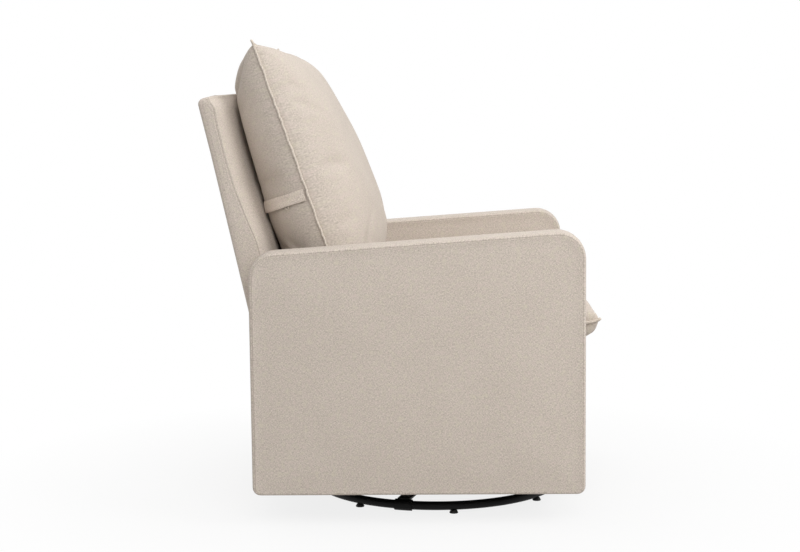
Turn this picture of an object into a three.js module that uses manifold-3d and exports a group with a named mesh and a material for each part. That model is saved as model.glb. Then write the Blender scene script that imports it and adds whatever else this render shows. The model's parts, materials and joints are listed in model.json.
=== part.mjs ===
// Swivel glider nursery chair: a padded armchair whose seat box hangs from four swing links on a ring base.
// Millimetres, +Z up. The sitter faces -Y, so +X is the sitter's left. The origin is on the floor, under the
// centre of the chair's outline. Pieces that touch keep a small named gap, so that each stays its own solid.
import * as THREE from "three";
import { mergeVertices } from "three/addons/utils/BufferGeometryUtils.js";
import Module from "manifold-3d";

const wasm = await Module();
wasm.setup();

// ---- Driving dimensions: lengths in millimetres, angles in degrees ----
const gap = 0.3;

const overallWidth = 760;
const overallDepth = 860;
const skirtHeight = 65;

const armRearStep = 3;
const armThickness = 92;
const armCornerHeight = 625;
const armTopFall = 3.75;
const armFrontRadius = 56;
const armRearRadius = 54;
const armFootRadius = 20;
const armPadding = 12;
const armInnerPadding = 10;
const armBoardThickness = 20;

const backHeight = 906;
const backOuterRake = 12.3;
const backInnerRake = 13.8;
const backTopDepth = 68;
const backRearRadius = 18;
const backFrontRadius = 8;
const backBendHeight = 400;
const backPanelThickness = 8;
const backPanelDrop = 40;
const postThickness = 30;
const postWidth = 24;
const postSidePadding = 13;
const postTopPadding = 18;
const backRailHeight = 42;
const backMidRailHeight = 590;

const cushionOverhang = 48;
const cushionCrown = 56;
const cushionBelly = 78;
const cushionFullness = 5;
const cushionSideClearance = 4;
const cushionBackClearance = 5;

const pillowHeight = 580;
const pillowRake = 19.9;
const pillowBackReach = 130.6;
const pillowSink = 8;
const pillowFrontBulge = 132;
const pillowRearBulge = 88;
const pillowFullness = 3;
const pillowSideClearance = 8;
const strapWidth = 25;
const strapThickness = 2;
const strapRise = 214;
const strapDrop = 28;

const boardThickness = 22;
const seatRailHeight = 120;
const borderSetback = 12;
const borderThickness = 25;
const borderRadius = 10;
const slatWidth = 80;
const deckThickness = 12;
const dustCoverThickness = 1;
const springCount = 4;
const springSpacing = 120;
const springWireRadius = 1.9;
const springHalfWidth = 24;
const springLoops = 8;
const springArch = 12;

const swivelForward = 41.4;
const baseTurn = -15.5;
const ringRadius = 280;
const tubeRadius = 9.5;
const footCount = 8;
const footHeight = 7;
const footRadius = 10;
const barWidth = 28;
const barThickness = 4.5;
const cradleWidth = 38;
const cradleThickness = 2.5;
const cradleInnerWrap = 60;

const raceRadius = 62;
const raceThickness = 3;
const ballRadius = 2.5;
const ballCount = 12;
const ballTrackRadius = 52;
const cageHalfThickness = 1;
const kingBoltRadius = 6;
const kingHeadRadius = 12;
const kingHeadHeight = 5;
const kingNutHeight = 8;

const plateThickness = 4;
const bracketInnerX = 158;
const bracketFlange = 34;
const bracketHalfLength = 146;
const carrierDepth = 116;
const pivotRise = 120;
const pivotSpacing = 240;
const linkLength = 110;
const linkThickness = 5;
const linkHalfWidth = 11;
const eyeRadius = 15;
const bossLength = 4;
const bossRadius = 11;
const pivotRadius = 5;
const pivotClearance = 0.4;
const pivotHeadRadius = 9;
const pivotHeadHeight = 4;
const pivotEndRadius = 8;
const pivotEndHeight = 2.2;
const glideAngle = 30;
const bumperHalfLength = 15;
const bumperHeight = 24;
const bumperDrop = 12;
const bumperClearance = 0.5;
const railFlange = 30;
const railDepth = 22;
const railClearance = 5;

// ---- Sizes worked out from them ----
const radians = THREE.MathUtils.degToRad;
const frontY = -overallDepth / 2;
const rearY = overallDepth / 2;
const armFrontY = frontY + cushionOverhang;
const innerX = overallWidth / 2 - armThickness;

const ringZ = footHeight + tubeRadius;
const barZ = ringZ + tubeRadius + gap;
const upperBarZ = barZ + barThickness + gap;
const lowerRaceZ = upperBarZ + barThickness + gap;
const ballZ = lowerRaceZ + raceThickness + gap + ballRadius;
const upperRaceZ = ballZ + ballRadius + gap;
const carrierZ = upperRaceZ + raceThickness + gap;
const bracketZ = carrierZ + plateThickness + gap;
const upperPivotZ = bracketZ + pivotRise;
const lowerPivotZ = upperPivotZ - linkLength;
const railTopZ = upperPivotZ + eyeRadius + railClearance + plateThickness;
const dustCoverZ = railTopZ + gap;
const seatFrameZ = dustCoverZ + dustCoverThickness + gap;
const seatRailTopZ = seatFrameZ + seatRailHeight;
const springZ = seatRailTopZ + gap + springWireRadius;
const deckZ = springZ + springArch + springWireRadius + gap;
const deckTopZ = deckZ + deckThickness;
const seamZ = deckTopZ + gap + cushionBelly;
const cushionTopZ = seamZ + cushionCrown;

const linkX = bracketInnerX + plateThickness + bossLength;
const railX = linkX + linkThickness + bossLength;
const boardX = innerX + armInnerPadding;
const crossX = boardX - gap;
const coverX = innerX - gap;

// The Y of each raked face of the back at height z; the outside stands upright below its bend.
const outerLean = Math.tan(radians(backOuterRake));
const innerLean = Math.tan(radians(backInnerRake));
const outerCornerY = rearY + backRearRadius * (1 / Math.cos(radians(backOuterRake)) + outerLean - 1);
const outerBackY = (z) => outerCornerY - (backHeight - Math.max(z, backBendHeight)) * outerLean;
const frameBackY = (z) => outerBackY(z) - backPanelThickness - gap;
const innerBackY = (z) => rearY - backTopDepth - (backHeight - z) * innerLean;
const panelTopZ = backHeight - backPanelDrop;
const postTopZ = panelTopZ - postTopPadding;
const postX = innerX - postSidePadding - postWidth;
const armRearY = outerBackY(0) - armRearStep;
const frontRailY = armFrontY + borderSetback + borderThickness + gap;
const rearRailY = frameBackY(0) - postThickness - gap - boardThickness;
const deckRearY = rearRailY + boardThickness;
const swivelY = (frontRailY + deckRearY) / 2 - swivelForward;

const cushionDepth = innerBackY(deckTopZ) - cushionBackClearance - frontY;
const pillowX = innerX - pillowSideClearance;
const pillowFootZ = cushionTopZ + gap - pillowSink;
const pillowFootY = innerBackY(pillowFootZ) - pillowBackReach;
const pillowSeamY = (z) => pillowFootY + (z - pillowFootZ) * Math.tan(radians(pillowRake));

// ---- Materials ----
const finish = (color, roughness, metalness) =>
  new THREE.MeshStandardMaterial({ color, roughness, metalness });
const cloth = finish(0xcfc4b5, 0.95, 0);
const blackSteel = finish(0x0d0d0d, 0.45, 0.6);
const zincSteel = finish(0x9a9c9f, 0.35, 0.9);
const springSteel = finish(0x55585c, 0.4, 0.9);
const plywood = finish(0xc9a26b, 0.7, 0);
const hardwood = finish(0xb98d5a, 0.65, 0);
const felt = finish(0xb7b0a4, 1, 0);
const cambric = finish(0x151515, 0.95, 0);
const rubber = finish(0x1b1b1b, 0.9, 0);
const nylon = finish(0x161616, 0.6, 0);

// ---- Geometry helpers ----
function toSolid(geometry) {
  const bare = geometry.clone();
  bare.deleteAttribute("normal");
  bare.deleteAttribute("uv");
  const merged = mergeVertices(bare, 1e-3);
  return new wasm.Manifold(
    new wasm.Mesh({
      numProp: 3,
      vertProperties: new Float32Array(merged.attributes.position.array),
      triVerts: new Uint32Array(merged.index.array),
    }),
  );
}

function toGeometry(solid) {
  const mesh = solid.getMesh();
  return new THREE.BufferGeometry()
    .setAttribute("position", new THREE.BufferAttribute(new Float32Array(mesh.vertProperties), 3))
    .setIndex(new THREE.BufferAttribute(new Uint32Array(mesh.triVerts), 1));
}

const join = (...geometries) => toGeometry(geometries.map(toSolid).reduce((a, b) => a.add(b)));
const cut = (body, ...tools) => toGeometry(tools.map(toSolid).reduce((a, b) => a.subtract(b), toSolid(body)));

// A closed outline through corners [a, b, radius], each rounded by a true arc of that radius.
function outline(corners) {
  const shape = new THREE.Shape();
  corners.forEach(([a, b, radius = 0], i) => {
    const corner = new THREE.Vector2(a, b);
    const towards = ([c, d]) => new THREE.Vector2(c, d).sub(corner).normalize();
    const before = towards(corners[(i + corners.length - 1) % corners.length]);
    const after = towards(corners[(i + 1) % corners.length]);
    if (radius > 0) {
      const half = Math.acos(before.dot(after)) / 2;
      const start = corner.clone().addScaledVector(before, radius / Math.tan(half));
      const end = corner.clone().addScaledVector(after, radius / Math.tan(half));
      const bisector = before.clone().add(after).normalize();
      const centre = corner.clone().addScaledVector(bisector, radius / Math.sin(half));
      const from = Math.atan2(start.y - centre.y, start.x - centre.x);
      const to = Math.atan2(end.y - centre.y, end.x - centre.x);
      shape.absarc(centre.x, centre.y, radius, from, to, before.cross(after) > 0);
    } else if (i === 0) shape.moveTo(a, b);
    else shape.lineTo(a, b);
  });
  return shape;
}

const plate = (shape, depth, curveSegments = 8, steps = 1) =>
  new THREE.ExtrudeGeometry(shape, { depth, bevelEnabled: false, curveSegments, steps });

// A profile drawn in (Y, Z) and made from x0 to x1.
const sidewaysBasis = new THREE.Matrix4().makeBasis(
  new THREE.Vector3(0, 1, 0),
  new THREE.Vector3(0, 0, 1),
  new THREE.Vector3(1, 0, 0),
);
const across = (shape, x0, x1, curveSegments) =>
  plate(shape, x1 - x0, curveSegments).applyMatrix4(sidewaysBasis).translate(x0, 0, 0);

// A box between two corners.
function block(x0, x1, y0, y1, z0, z1) {
  const box = new THREE.BoxGeometry(x1 - x0, y1 - y0, z1 - z0);
  return box.translate((x0 + x1) / 2, (y0 + y1) / 2, (z0 + z1) / 2);
}

// A profile of [radius, z] points, listed anticlockwise, turned about Z.
function turned(profile, sides) {
  const points = profile.map(([radius, z]) => new THREE.Vector2(radius, z));
  return new THREE.LatheGeometry(points, sides).rotateX(Math.PI / 2);
}

// A round rod along X, from x0 to x1 at (y, z).
function rodX(radius, x0, x1, y, z) {
  const rod = new THREE.CylinderGeometry(radius, radius, x1 - x0, 16);
  return rod.rotateZ(Math.PI / 2).translate((x0 + x1) / 2, y, z);
}

// A stuffed shape on a flat rectangular seam in XZ, with panels that bulge to -Y (front) and to +Y (rear).
function stuffed({ width, height, front, rear, fullness, segments = 14 }) {
  const positions = [];
  const spread = (i) => Math.sin((Math.PI / 2) * ((2 * i) / segments - 1));
  const profile = (t) => Math.max(0, 1 - Math.abs(t) ** fullness) ** 0.4;
  const point = (i, j, bulge) => {
    const [u, v] = [spread(i), spread(j)];
    return [(u * width) / 2, bulge * profile(u) * profile(v), ((v + 1) * height) / 2];
  };
  for (let i = 0; i < segments; i++) {
    for (let j = 0; j < segments; j++) {
      for (const [bulge, order] of [
        [-front, [0, 1, 2, 0, 2, 3]],
        [rear, [0, 2, 1, 0, 3, 2]],
      ]) {
        const corners = [
          [i, j],
          [i + 1, j],
          [i + 1, j + 1],
          [i, j + 1],
        ].map(([a, b]) => point(a, b, bulge));
        positions.push(...order.flatMap((k) => corners[k]));
      }
    }
  }
  return new THREE.BufferGeometry().setAttribute("position", new THREE.Float32BufferAttribute(positions, 3));
}

function add(group, name, geometry, material) {
  const mesh = new THREE.Mesh(geometry, material);
  mesh.name = name;
  group.add(mesh);
  return mesh;
}

const sides = [
  ["left", 1],
  ["right", -1],
];
const ends = [
  ["front", -1],
  ["rear", 1],
];

// ---- Base: ring, feet, crossed bars and the fixed half of the swivel bearing ----
function makeBase() {
  const base = new THREE.Group();
  base.position.set(0, swivelY, 0);
  base.rotation.z = radians(baseTurn);
  const ring = new THREE.TorusGeometry(ringRadius, tubeRadius, 8, 72);
  add(base, "base_ring", ring, blackSteel).position.z = ringZ;

  const footProfile = [
    [0, 0],
    [footRadius, 0],
    [footRadius * 0.7, footHeight - gap],
    [0, footHeight - gap],
  ];
  for (let i = 0; i < footCount; i++) {
    const angle = ((i + 0.5) * 2 * Math.PI) / footCount;
    const foot = add(base, `foot_${i + 1}`, turned(footProfile, 12), nylon);
    foot.position.set(ringRadius * Math.cos(angle), ringRadius * Math.sin(angle), 0);
  }

  add(base, "cross_bar_lower", crossBar(0), blackSteel);
  add(base, "cross_bar_upper", crossBar(upperBarZ - barZ), blackSteel).rotation.z = Math.PI / 2;
  add(base, "bearing_lower_race", race(), zincSteel).position.z = lowerRaceZ;
  add(base, "king_bolt", kingBolt(), zincSteel);
  return base;
}

// A flat bar across the ring, raised by lift at its middle, with a cradle pressed round the tube at each end.
function crossBar(lift) {
  const flat = raceRadius + 8;
  const slope = flat + 5 * lift;
  const lower = lift > 0 ? [[-slope, 0], [-flat, lift], [flat, lift], [slope, 0]] : [];
  const edge = [[-ringRadius, 0], ...lower, [ringRadius, 0]];
  const strip = new THREE.Shape(
    [
      ...edge.map(([x, z]) => [x, barZ + z]),
      ...edge.map(([x, z]) => [x, barZ + barThickness + z]).reverse(),
    ].map(([x, z]) => new THREE.Vector2(x, z)),
  );
  const bar = plate(strip, barWidth).translate(0, 0, -barWidth / 2).rotateX(Math.PI / 2);
  const bore = kingBoltRadius + gap;
  const drill = turned([[0, 0], [bore, 0], [bore, upperBarZ * 2], [0, upperBarZ * 2]], 24);
  return cut(join(bar, cradle(), cradle().rotateZ(Math.PI)), drill);
}

// The cradle's (radius, z) section round the tube, carried along the ring for the cradle's width.
function cradle() {
  const inner = tubeRadius + gap;
  const wrap = radians(90 + cradleInnerWrap);
  const section = new THREE.Shape();
  section.absarc(ringRadius, ringZ, inner + cradleThickness, -Math.PI / 2, wrap, false);
  section.absarc(ringRadius, ringZ, inner, wrap, -Math.PI / 2, true);
  const band = plate(section, 1, 8, 4);
  const place = band.attributes.position;
  for (let i = 0; i < place.count; i++) {
    const angle = ((0.5 - place.getZ(i)) * cradleWidth) / ringRadius;
    const radius = place.getX(i);
    place.setXYZ(i, radius * Math.cos(angle), radius * Math.sin(angle), place.getY(i));
  }
  return band;
}

function race() {
  const bore = kingBoltRadius + pivotClearance + gap;
  const [radius, top] = [raceRadius, raceThickness];
  return turned([[bore, 0], [radius, 0], [radius, top], [bore, top], [bore, 0]], 32);
}

function kingBolt() {
  const headZ = barZ - gap;
  return turned(
    [
      [0, headZ - kingHeadHeight],
      [kingHeadRadius, headZ - kingHeadHeight],
      [kingHeadRadius, headZ],
      [kingBoltRadius, headZ],
      [kingBoltRadius, bracketZ],
      [kingHeadRadius, bracketZ],
      [kingHeadRadius, bracketZ + kingNutHeight],
      [0, bracketZ + kingNutHeight],
    ],
    24,
  );
}

function ballCage() {
  const [inner, outer] = [ballTrackRadius - ballRadius - 2, ballTrackRadius + ballRadius + 2];
  const t = cageHalfThickness;
  const band = turned([[inner, -t], [outer, -t], [outer, t], [inner, t], [inner, -t]], 32);
  const balls = Array.from({ length: ballCount }, (_, i) => {
    const angle = (i * 2 * Math.PI) / ballCount;
    const ball = new THREE.SphereGeometry(ballRadius, 6, 4).rotateX(Math.PI / 2);
    return ball.translate(ballTrackRadius * Math.cos(angle), ballTrackRadius * Math.sin(angle), 0);
  });
  return join(band, ...balls);
}

// ---- Swivel frame: the turning plate and its two upright brackets, which carry the upper pivots ----
function makeSwivelFrame() {
  const frame = new THREE.Group();
  frame.position.set(0, swivelY, 0);
  add(frame, "ball_cage", ballCage(), zincSteel).position.z = ballZ;
  add(frame, "bearing_upper_race", race(), zincSteel).position.z = upperRaceZ;

  const plateX = bracketInnerX + plateThickness;
  const bore = kingBoltRadius + pivotClearance + gap;
  const halfDepth = carrierDepth / 2;
  const blank = block(-plateX, plateX, -halfDepth, halfDepth, carrierZ, carrierZ + plateThickness);
  const drill = turned([[0, 0], [bore, 0], [bore, bracketZ * 2], [0, bracketZ * 2]], 24);
  add(frame, "carrier_plate", cut(blank, drill), blackSteel);

  for (const [side, sign] of sides) {
    const turn = sign > 0 ? 0 : Math.PI;
    add(frame, `carrier_bracket_${side}`, carrierBracket(), blackSteel).rotation.z = turn;
    add(frame, `glide_bumper_${side}`, bumper(), rubber).rotation.z = turn;
    for (const [end, way] of ends) {
      const bolt = add(frame, `upper_pivot_bolt_${end}_${side}`, pivotBolt(), zincSteel);
      bolt.position.set(sign * bracketInnerX, (way * pivotSpacing) / 2, upperPivotZ);
      bolt.rotation.y = (sign * Math.PI) / 2;
    }
  }
  return frame;
}

function carrierBracket() {
  const topY = pivotSpacing / 2 + eyeRadius;
  const topZ = upperPivotZ + eyeRadius;
  const foot = Math.max(bracketHalfLength, topY);
  const web = outline([
    [-foot, bracketZ],
    [foot, bracketZ],
    [topY, topZ, eyeRadius * 0.8],
    [-topY, topZ, eyeRadius * 0.8],
  ]);
  const outerX = bracketInnerX + plateThickness;
  const flange = block(outerX - bracketFlange, outerX, -foot, foot, bracketZ, bracketZ + plateThickness);
  const bores = ends.map(([, way]) => {
    const y = (way * pivotSpacing) / 2;
    return rodX(pivotRadius + gap, bracketInnerX - plateThickness, outerX + plateThickness, y, upperPivotZ);
  });
  return cut(join(across(web, bracketInnerX, outerX), flange), ...bores);
}

// The rubber stop stands out from the bracket, into the plane of the rail's tabs.
function bumper() {
  const [y, z] = [bumperHalfLength, upperPivotZ - bumperDrop];
  const shape = outline([
    [-y, z - bumperHeight / 2, 4],
    [y, z - bumperHeight / 2, 4],
    [y, z + bumperHeight / 2, 4],
    [-y, z + bumperHeight / 2, 4],
  ]);
  return across(shape, bracketInnerX + plateThickness + gap, railX + plateThickness + 2, 3);
}

// A shouldered bolt along +Z through a plate, a boss and a link, with its spread end on the far side.
function pivotBolt() {
  const stack = plateThickness + bossLength + linkThickness;
  return turned(
    [
      [0, -gap - pivotHeadHeight],
      [pivotHeadRadius, -gap - pivotHeadHeight],
      [pivotHeadRadius, -gap],
      [pivotRadius, -gap],
      [pivotRadius, stack + gap],
      [pivotEndRadius, stack + gap],
      [pivotEndRadius, stack + gap + pivotEndHeight],
      [0, stack + gap + pivotEndHeight],
    ],
    16,
  );
}

// ---- Links: flat bars hung from the upper pivots, with a boss inwards above and outwards below ----
function makeLinks() {
  const links = new THREE.Group();
  links.position.set(0, swivelY, upperPivotZ);
  for (const [side, sign] of sides) {
    for (const [end, way] of ends) {
      const link = add(links, `swing_link_${end}_${side}`, swingLink(), blackSteel);
      link.position.y = (way * pivotSpacing) / 2;
      link.rotation.z = sign > 0 ? 0 : Math.PI;
    }
  }
  return links;
}

function swingLink() {
  const outerX = linkX + linkThickness;
  const bar = block(linkX, outerX, -linkHalfWidth, linkHalfWidth, -linkLength, 0);
  const eyes = [0, -linkLength].map((z) => rodX(eyeRadius, linkX, outerX, 0, z));
  const upperBoss = rodX(bossRadius, linkX - bossLength + gap, linkX + 1, 0, 0);
  const lowerBoss = rodX(bossRadius, outerX - 1, outerX + bossLength - gap, 0, -linkLength);
  const bores = [0, -linkLength].map((z) =>
    rodX(pivotRadius + pivotClearance, linkX - 2 * bossLength, outerX + 2 * bossLength, 0, z),
  );
  return cut(join(bar, ...eyes, upperBoss, lowerBoss), ...bores);
}

// ---- Glide rails: what the links carry, screwed under the seat box ----
function makeGlideRails() {
  const rails = new THREE.Group();
  rails.position.set(0, swivelY, 0);
  for (const [side, sign] of sides) {
    add(rails, `glide_rail_${side}`, glideRail(), blackSteel).rotation.z = sign > 0 ? 0 : Math.PI;
    for (const [end, way] of ends) {
      const bolt = add(rails, `lower_pivot_bolt_${end}_${side}`, pivotBolt(), zincSteel);
      bolt.position.set(sign * (railX + plateThickness), (way * pivotSpacing) / 2, lowerPivotZ);
      bolt.rotation.y = (-sign * Math.PI) / 2;
    }
  }
  return rails;
}

function glideRail() {
  const pivotY = pivotSpacing / 2;
  const tabY = bumperHalfLength + linkLength * Math.sin(radians(glideAngle)) + bumperClearance;
  const tabZ = upperPivotZ - bumperDrop - bumperHeight / 2 - 8;
  const edgeZ = railTopZ - railDepth;
  const half = pivotY + Math.max(slatWidth / 2, 2 * eyeRadius);
  const ear = [
    [half, edgeZ],
    [pivotY + eyeRadius + 10, edgeZ],
    [pivotY + eyeRadius, lowerPivotZ - eyeRadius, eyeRadius * 0.8],
    [pivotY - eyeRadius, lowerPivotZ - eyeRadius, eyeRadius * 0.8],
    [pivotY - eyeRadius, tabZ],
    [tabY, tabZ],
    [tabY, edgeZ],
  ];
  const mirrored = ear.map(([y, z, radius]) => [-y, z, radius]);
  const web = outline([[half, railTopZ], [-half, railTopZ], ...mirrored, ...ear.reverse()]);
  const flange = block(railX, railX + railFlange, -half, half, railTopZ - plateThickness, railTopZ);
  const bores = [-pivotY, pivotY].map((y) =>
    rodX(pivotRadius + gap, railX - plateThickness, railX + 2 * plateThickness, y, lowerPivotZ),
  );
  return cut(join(across(web, railX, railX + plateThickness), flange), ...bores);
}

// ---- Seat box: slats on the rails, two rails between the arm boards, springs, deck and under-cover ----
function makeSeatBox() {
  const box = new THREE.Group();
  const board = (y0, z1) => block(-crossX, crossX, y0, y0 + boardThickness, seatFrameZ, z1);
  add(box, "seat_front_rail", board(frontRailY, seatRailTopZ), hardwood);
  add(box, "seat_rear_rail", board(rearRailY, seatRailTopZ), hardwood);
  for (const [end, way] of ends) {
    const y = swivelY + (way * pivotSpacing - slatWidth) / 2;
    const slat = block(-crossX, crossX, y, y + slatWidth, seatFrameZ, seatFrameZ + boardThickness);
    add(box, `mount_slat_${end}`, slat, hardwood);
  }
  for (let i = 0; i < springCount; i++) {
    const spring = add(box, `seat_spring_${i + 1}`, seatSpring(), springSteel);
    spring.position.x = (i - (springCount - 1) / 2) * springSpacing;
  }
  add(box, "deck_pad", block(-crossX, crossX, frontRailY, deckRearY, deckZ, deckTopZ), felt);
  const cover = block(-crossX, crossX, frontRailY, deckRearY, dustCoverZ, dustCoverZ + dustCoverThickness);
  add(box, "dust_cover", cover, cambric);
  const borderY = armFrontY + borderSetback;
  const border = outline([
    [borderY, skirtHeight, borderRadius],
    [borderY + borderThickness, skirtHeight],
    [borderY + borderThickness, deckTopZ],
    [borderY, deckTopZ, borderRadius],
  ]);
  add(box, "front_border", across(border, -coverX, coverX, 4), cloth);
  return box;
}

// A zigzag wire from the middle of the front rail to the middle of the rear one, arched upwards.
class SpringPath extends THREE.Curve {
  getPoint(t, target = new THREE.Vector3()) {
    const startY = frontRailY + boardThickness / 2;
    const endY = rearRailY + boardThickness / 2;
    return target.set(
      springHalfWidth * Math.sin(2 * Math.PI * springLoops * t),
      startY + (endY - startY) * t,
      springZ + springArch * Math.sin(Math.PI * t),
    );
  }
}

function seatSpring() {
  const section = new THREE.Shape();
  section.absarc(0, 0, springWireRadius, 0, 2 * Math.PI, false);
  const steps = springLoops * 6;
  return new THREE.ExtrudeGeometry(section, { extrudePath: new SpringPath(), steps, curveSegments: 3 });
}

// ---- Arms: a plywood board in a padded cover, which is open below and inside the seat box ----
function armOutline(inset, footZ, footRadius) {
  const topZ = (y) => armCornerHeight - inset - (y - armFrontY) * Math.tan(radians(armTopFall));
  return outline([
    [armFrontY + inset, footZ, footRadius],
    [armRearY - inset, footZ, footRadius],
    [armRearY - inset, topZ(armRearY - inset), armRearRadius - inset],
    [armFrontY + inset, topZ(armFrontY + inset), armFrontRadius - inset],
  ]);
}

function makeArms() {
  const arms = new THREE.Group();
  for (const [side, sign] of sides) {
    const from = (x0, x1) => (sign > 0 ? [x0, x1] : [-x1, -x0]);
    const board = across(armOutline(armPadding, skirtHeight, 0), ...from(boardX, boardX + armBoardThickness));
    add(arms, `arm_board_${side}`, board, plywood);

    const body = across(armOutline(0, skirtHeight, armFootRadius), ...from(innerX, overallWidth / 2));
    const slotOutline = armOutline(armPadding - gap, skirtHeight - armFootRadius, 0);
    const slot = across(slotOutline, ...from(boardX - gap, boardX + armBoardThickness + gap));
    const recess = block(
      ...from(innerX - 1, boardX),
      frontRailY - gap,
      deckRearY + gap,
      skirtHeight - 1,
      deckTopZ + gap,
    );
    add(arms, `arm_cover_${side}`, cut(body, slot, recess), cloth);
  }
  return arms;
}

// ---- Back: a ladder of posts and rails, let into the rear of a padded cover and closed by a panel ----
// A band that follows the rear of the frame between two heights, from depth y0 to depth y1 in front of it.
function backBand(y0, y1, z0, z1) {
  const heights = z0 < backBendHeight && backBendHeight < z1 ? [z0, backBendHeight, z1] : [z0, z1];
  const edge = (depth) => heights.map((z) => [frameBackY(z) - depth, z]);
  return outline([...edge(y1), ...edge(y0).reverse()].reverse());
}

function makeBack() {
  const back = new THREE.Group();
  const pockets = [];
  const deep = postThickness + gap;
  const addFramePiece = (name, x0, x1, z0, z1) => {
    add(back, name, across(backBand(0, postThickness, z0, z1), x0, x1), hardwood);
    pockets.push(across(backBand(-backPanelThickness, deep, z0 - gap, z1 + gap), x0 - gap, x1 + gap));
  };
  addFramePiece("back_post_left", postX, postX + postWidth, seatFrameZ, postTopZ);
  addFramePiece("back_post_right", -postX - postWidth, -postX, seatFrameZ, postTopZ);
  const railHalf = postX - gap;
  addFramePiece("back_top_rail", -railHalf, railHalf, postTopZ - backRailHeight, postTopZ);
  addFramePiece("back_mid_rail", -railHalf, railHalf, backMidRailHeight, backMidRailHeight + backRailHeight);

  const footZ = deckTopZ + gap;
  const bend = footZ < backBendHeight ? [[frameBackY(0), backBendHeight]] : [];
  const body = outline([
    [innerBackY(footZ), footZ],
    [frameBackY(footZ), footZ],
    ...bend,
    [frameBackY(panelTopZ), panelTopZ],
    [outerBackY(panelTopZ), panelTopZ],
    [outerBackY(backHeight), backHeight, backRearRadius],
    [innerBackY(backHeight), backHeight, backFrontRadius],
  ]);
  add(back, "back_cover", cut(across(body, -coverX, coverX, 4), ...pockets), cloth);
  const panel = backBand(-gap - backPanelThickness, -gap, skirtHeight, panelTopZ - gap);
  add(back, "back_outer_panel", across(panel, -coverX, coverX), cloth);
  return back;
}

// ---- Loose upholstery: the seat cushion, and the pillow on its two straps ----
function makeCushions() {
  const cushions = new THREE.Group();
  const seat = stuffed({
    width: 2 * (innerX - cushionSideClearance),
    height: cushionDepth,
    front: cushionCrown,
    rear: cushionBelly,
    fullness: cushionFullness,
  });
  add(cushions, "seat_cushion", seat.rotateX(-Math.PI / 2).translate(0, frontY, seamZ), cloth);

  const whole = stuffed({
    width: 2 * pillowX,
    height: pillowHeight,
    front: pillowFrontBulge,
    rear: pillowRearBulge,
    fullness: pillowFullness,
  });
  whole.rotateX(-radians(pillowRake)).translate(0, pillowFootY, pillowFootZ);
  const under = block(-overallWidth, overallWidth, frontY, rearY, 0, cushionTopZ + gap);
  const topZ = pillowFootZ + pillowHeight + pillowFrontBulge;
  const behind = outline([
    [innerBackY(0) - gap, 0],
    [rearY * 2, 0],
    [rearY * 2, topZ],
    [innerBackY(topZ) - gap, topZ],
  ]);
  add(cushions, "back_pillow", cut(whole, under, across(behind, -overallWidth, overallWidth)), cloth);

  const startZ = pillowFootZ + strapRise;
  const endZ = startZ - strapDrop;
  const half = strapWidth / 2;
  const strap = outline([
    [pillowSeamY(startZ - half), startZ - half],
    [innerBackY(endZ - half) - gap, endZ - half],
    [innerBackY(endZ + half) - gap, endZ + half],
    [pillowSeamY(startZ + half), startZ + half],
  ]);
  const x0 = pillowX + gap;
  add(cushions, "pillow_strap_left", across(strap, x0, x0 + strapThickness), cloth);
  add(cushions, "pillow_strap_right", across(strap, -x0 - strapThickness, -x0), cloth);
  return cushions;
}

// ---- The whole chair ----
const chair = new THREE.Group();
chair.add(
  makeBase(),
  makeSwivelFrame(),
  makeLinks(),
  makeGlideRails(),
  makeSeatBox(),
  makeArms(),
  makeBack(),
  makeCushions(),
);

export default chair;
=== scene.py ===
# Swivel glider nursery chair: the upholstery, welts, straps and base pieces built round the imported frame.
# Metres, +Z up, the sitter faces -Y, so the sitter's right arm is at -X, nearest the camera.
import json
import math
import bmesh
import bpy
import numpy as np
from mathutils import Matrix, Vector


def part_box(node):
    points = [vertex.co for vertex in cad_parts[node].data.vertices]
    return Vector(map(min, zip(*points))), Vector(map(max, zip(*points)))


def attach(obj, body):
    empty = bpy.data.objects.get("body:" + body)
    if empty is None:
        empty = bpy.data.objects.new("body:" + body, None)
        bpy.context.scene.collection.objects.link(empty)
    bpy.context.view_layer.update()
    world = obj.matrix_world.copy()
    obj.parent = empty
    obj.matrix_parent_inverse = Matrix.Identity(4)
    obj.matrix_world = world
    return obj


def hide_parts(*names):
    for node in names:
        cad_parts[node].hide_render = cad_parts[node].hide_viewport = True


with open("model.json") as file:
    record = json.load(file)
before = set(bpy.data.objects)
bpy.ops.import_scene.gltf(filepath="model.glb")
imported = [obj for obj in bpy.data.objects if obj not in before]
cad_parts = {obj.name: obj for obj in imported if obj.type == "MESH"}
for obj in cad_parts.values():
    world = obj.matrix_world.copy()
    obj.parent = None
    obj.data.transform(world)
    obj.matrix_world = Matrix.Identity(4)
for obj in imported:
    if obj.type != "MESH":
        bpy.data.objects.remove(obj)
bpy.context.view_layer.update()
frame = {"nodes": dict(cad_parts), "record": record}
scene = bpy.context.scene
nodes = frame["nodes"]


# Shader helpers
class Wire:  # a socket that takes part in sums, so that a pattern reads as one expression
    def __init__(self, tree, socket):
        self.tree, self.socket = tree, socket

    def maths(self, operation, a, b=None):
        node = self.tree.nodes.new("ShaderNodeMath")
        node.operation = operation
        for slot, value in zip(node.inputs, (a, b)):
            plug(self.tree, slot, value)
        return Wire(self.tree, node.outputs[0])

    def __add__(self, other):
        return self.maths("ADD", self, other)

    def __sub__(self, other):
        return self.maths("SUBTRACT", self, other)

    def __rsub__(self, other):
        return self.maths("SUBTRACT", other, self)

    def __mul__(self, other):
        return self.maths("MULTIPLY", self, other)

    def __pow__(self, other):
        return self.maths("POWER", self, other)

    def __abs__(self):
        return self.maths("ABSOLUTE", self)

    __radd__ = __add__
    __rmul__ = __mul__

    def sine(self):
        return self.maths("SINE", self)

    def above(self, level):
        return self.maths("GREATER_THAN", self, level)

    def larger(self, other):
        return self.maths("MAXIMUM", self, other)


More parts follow.
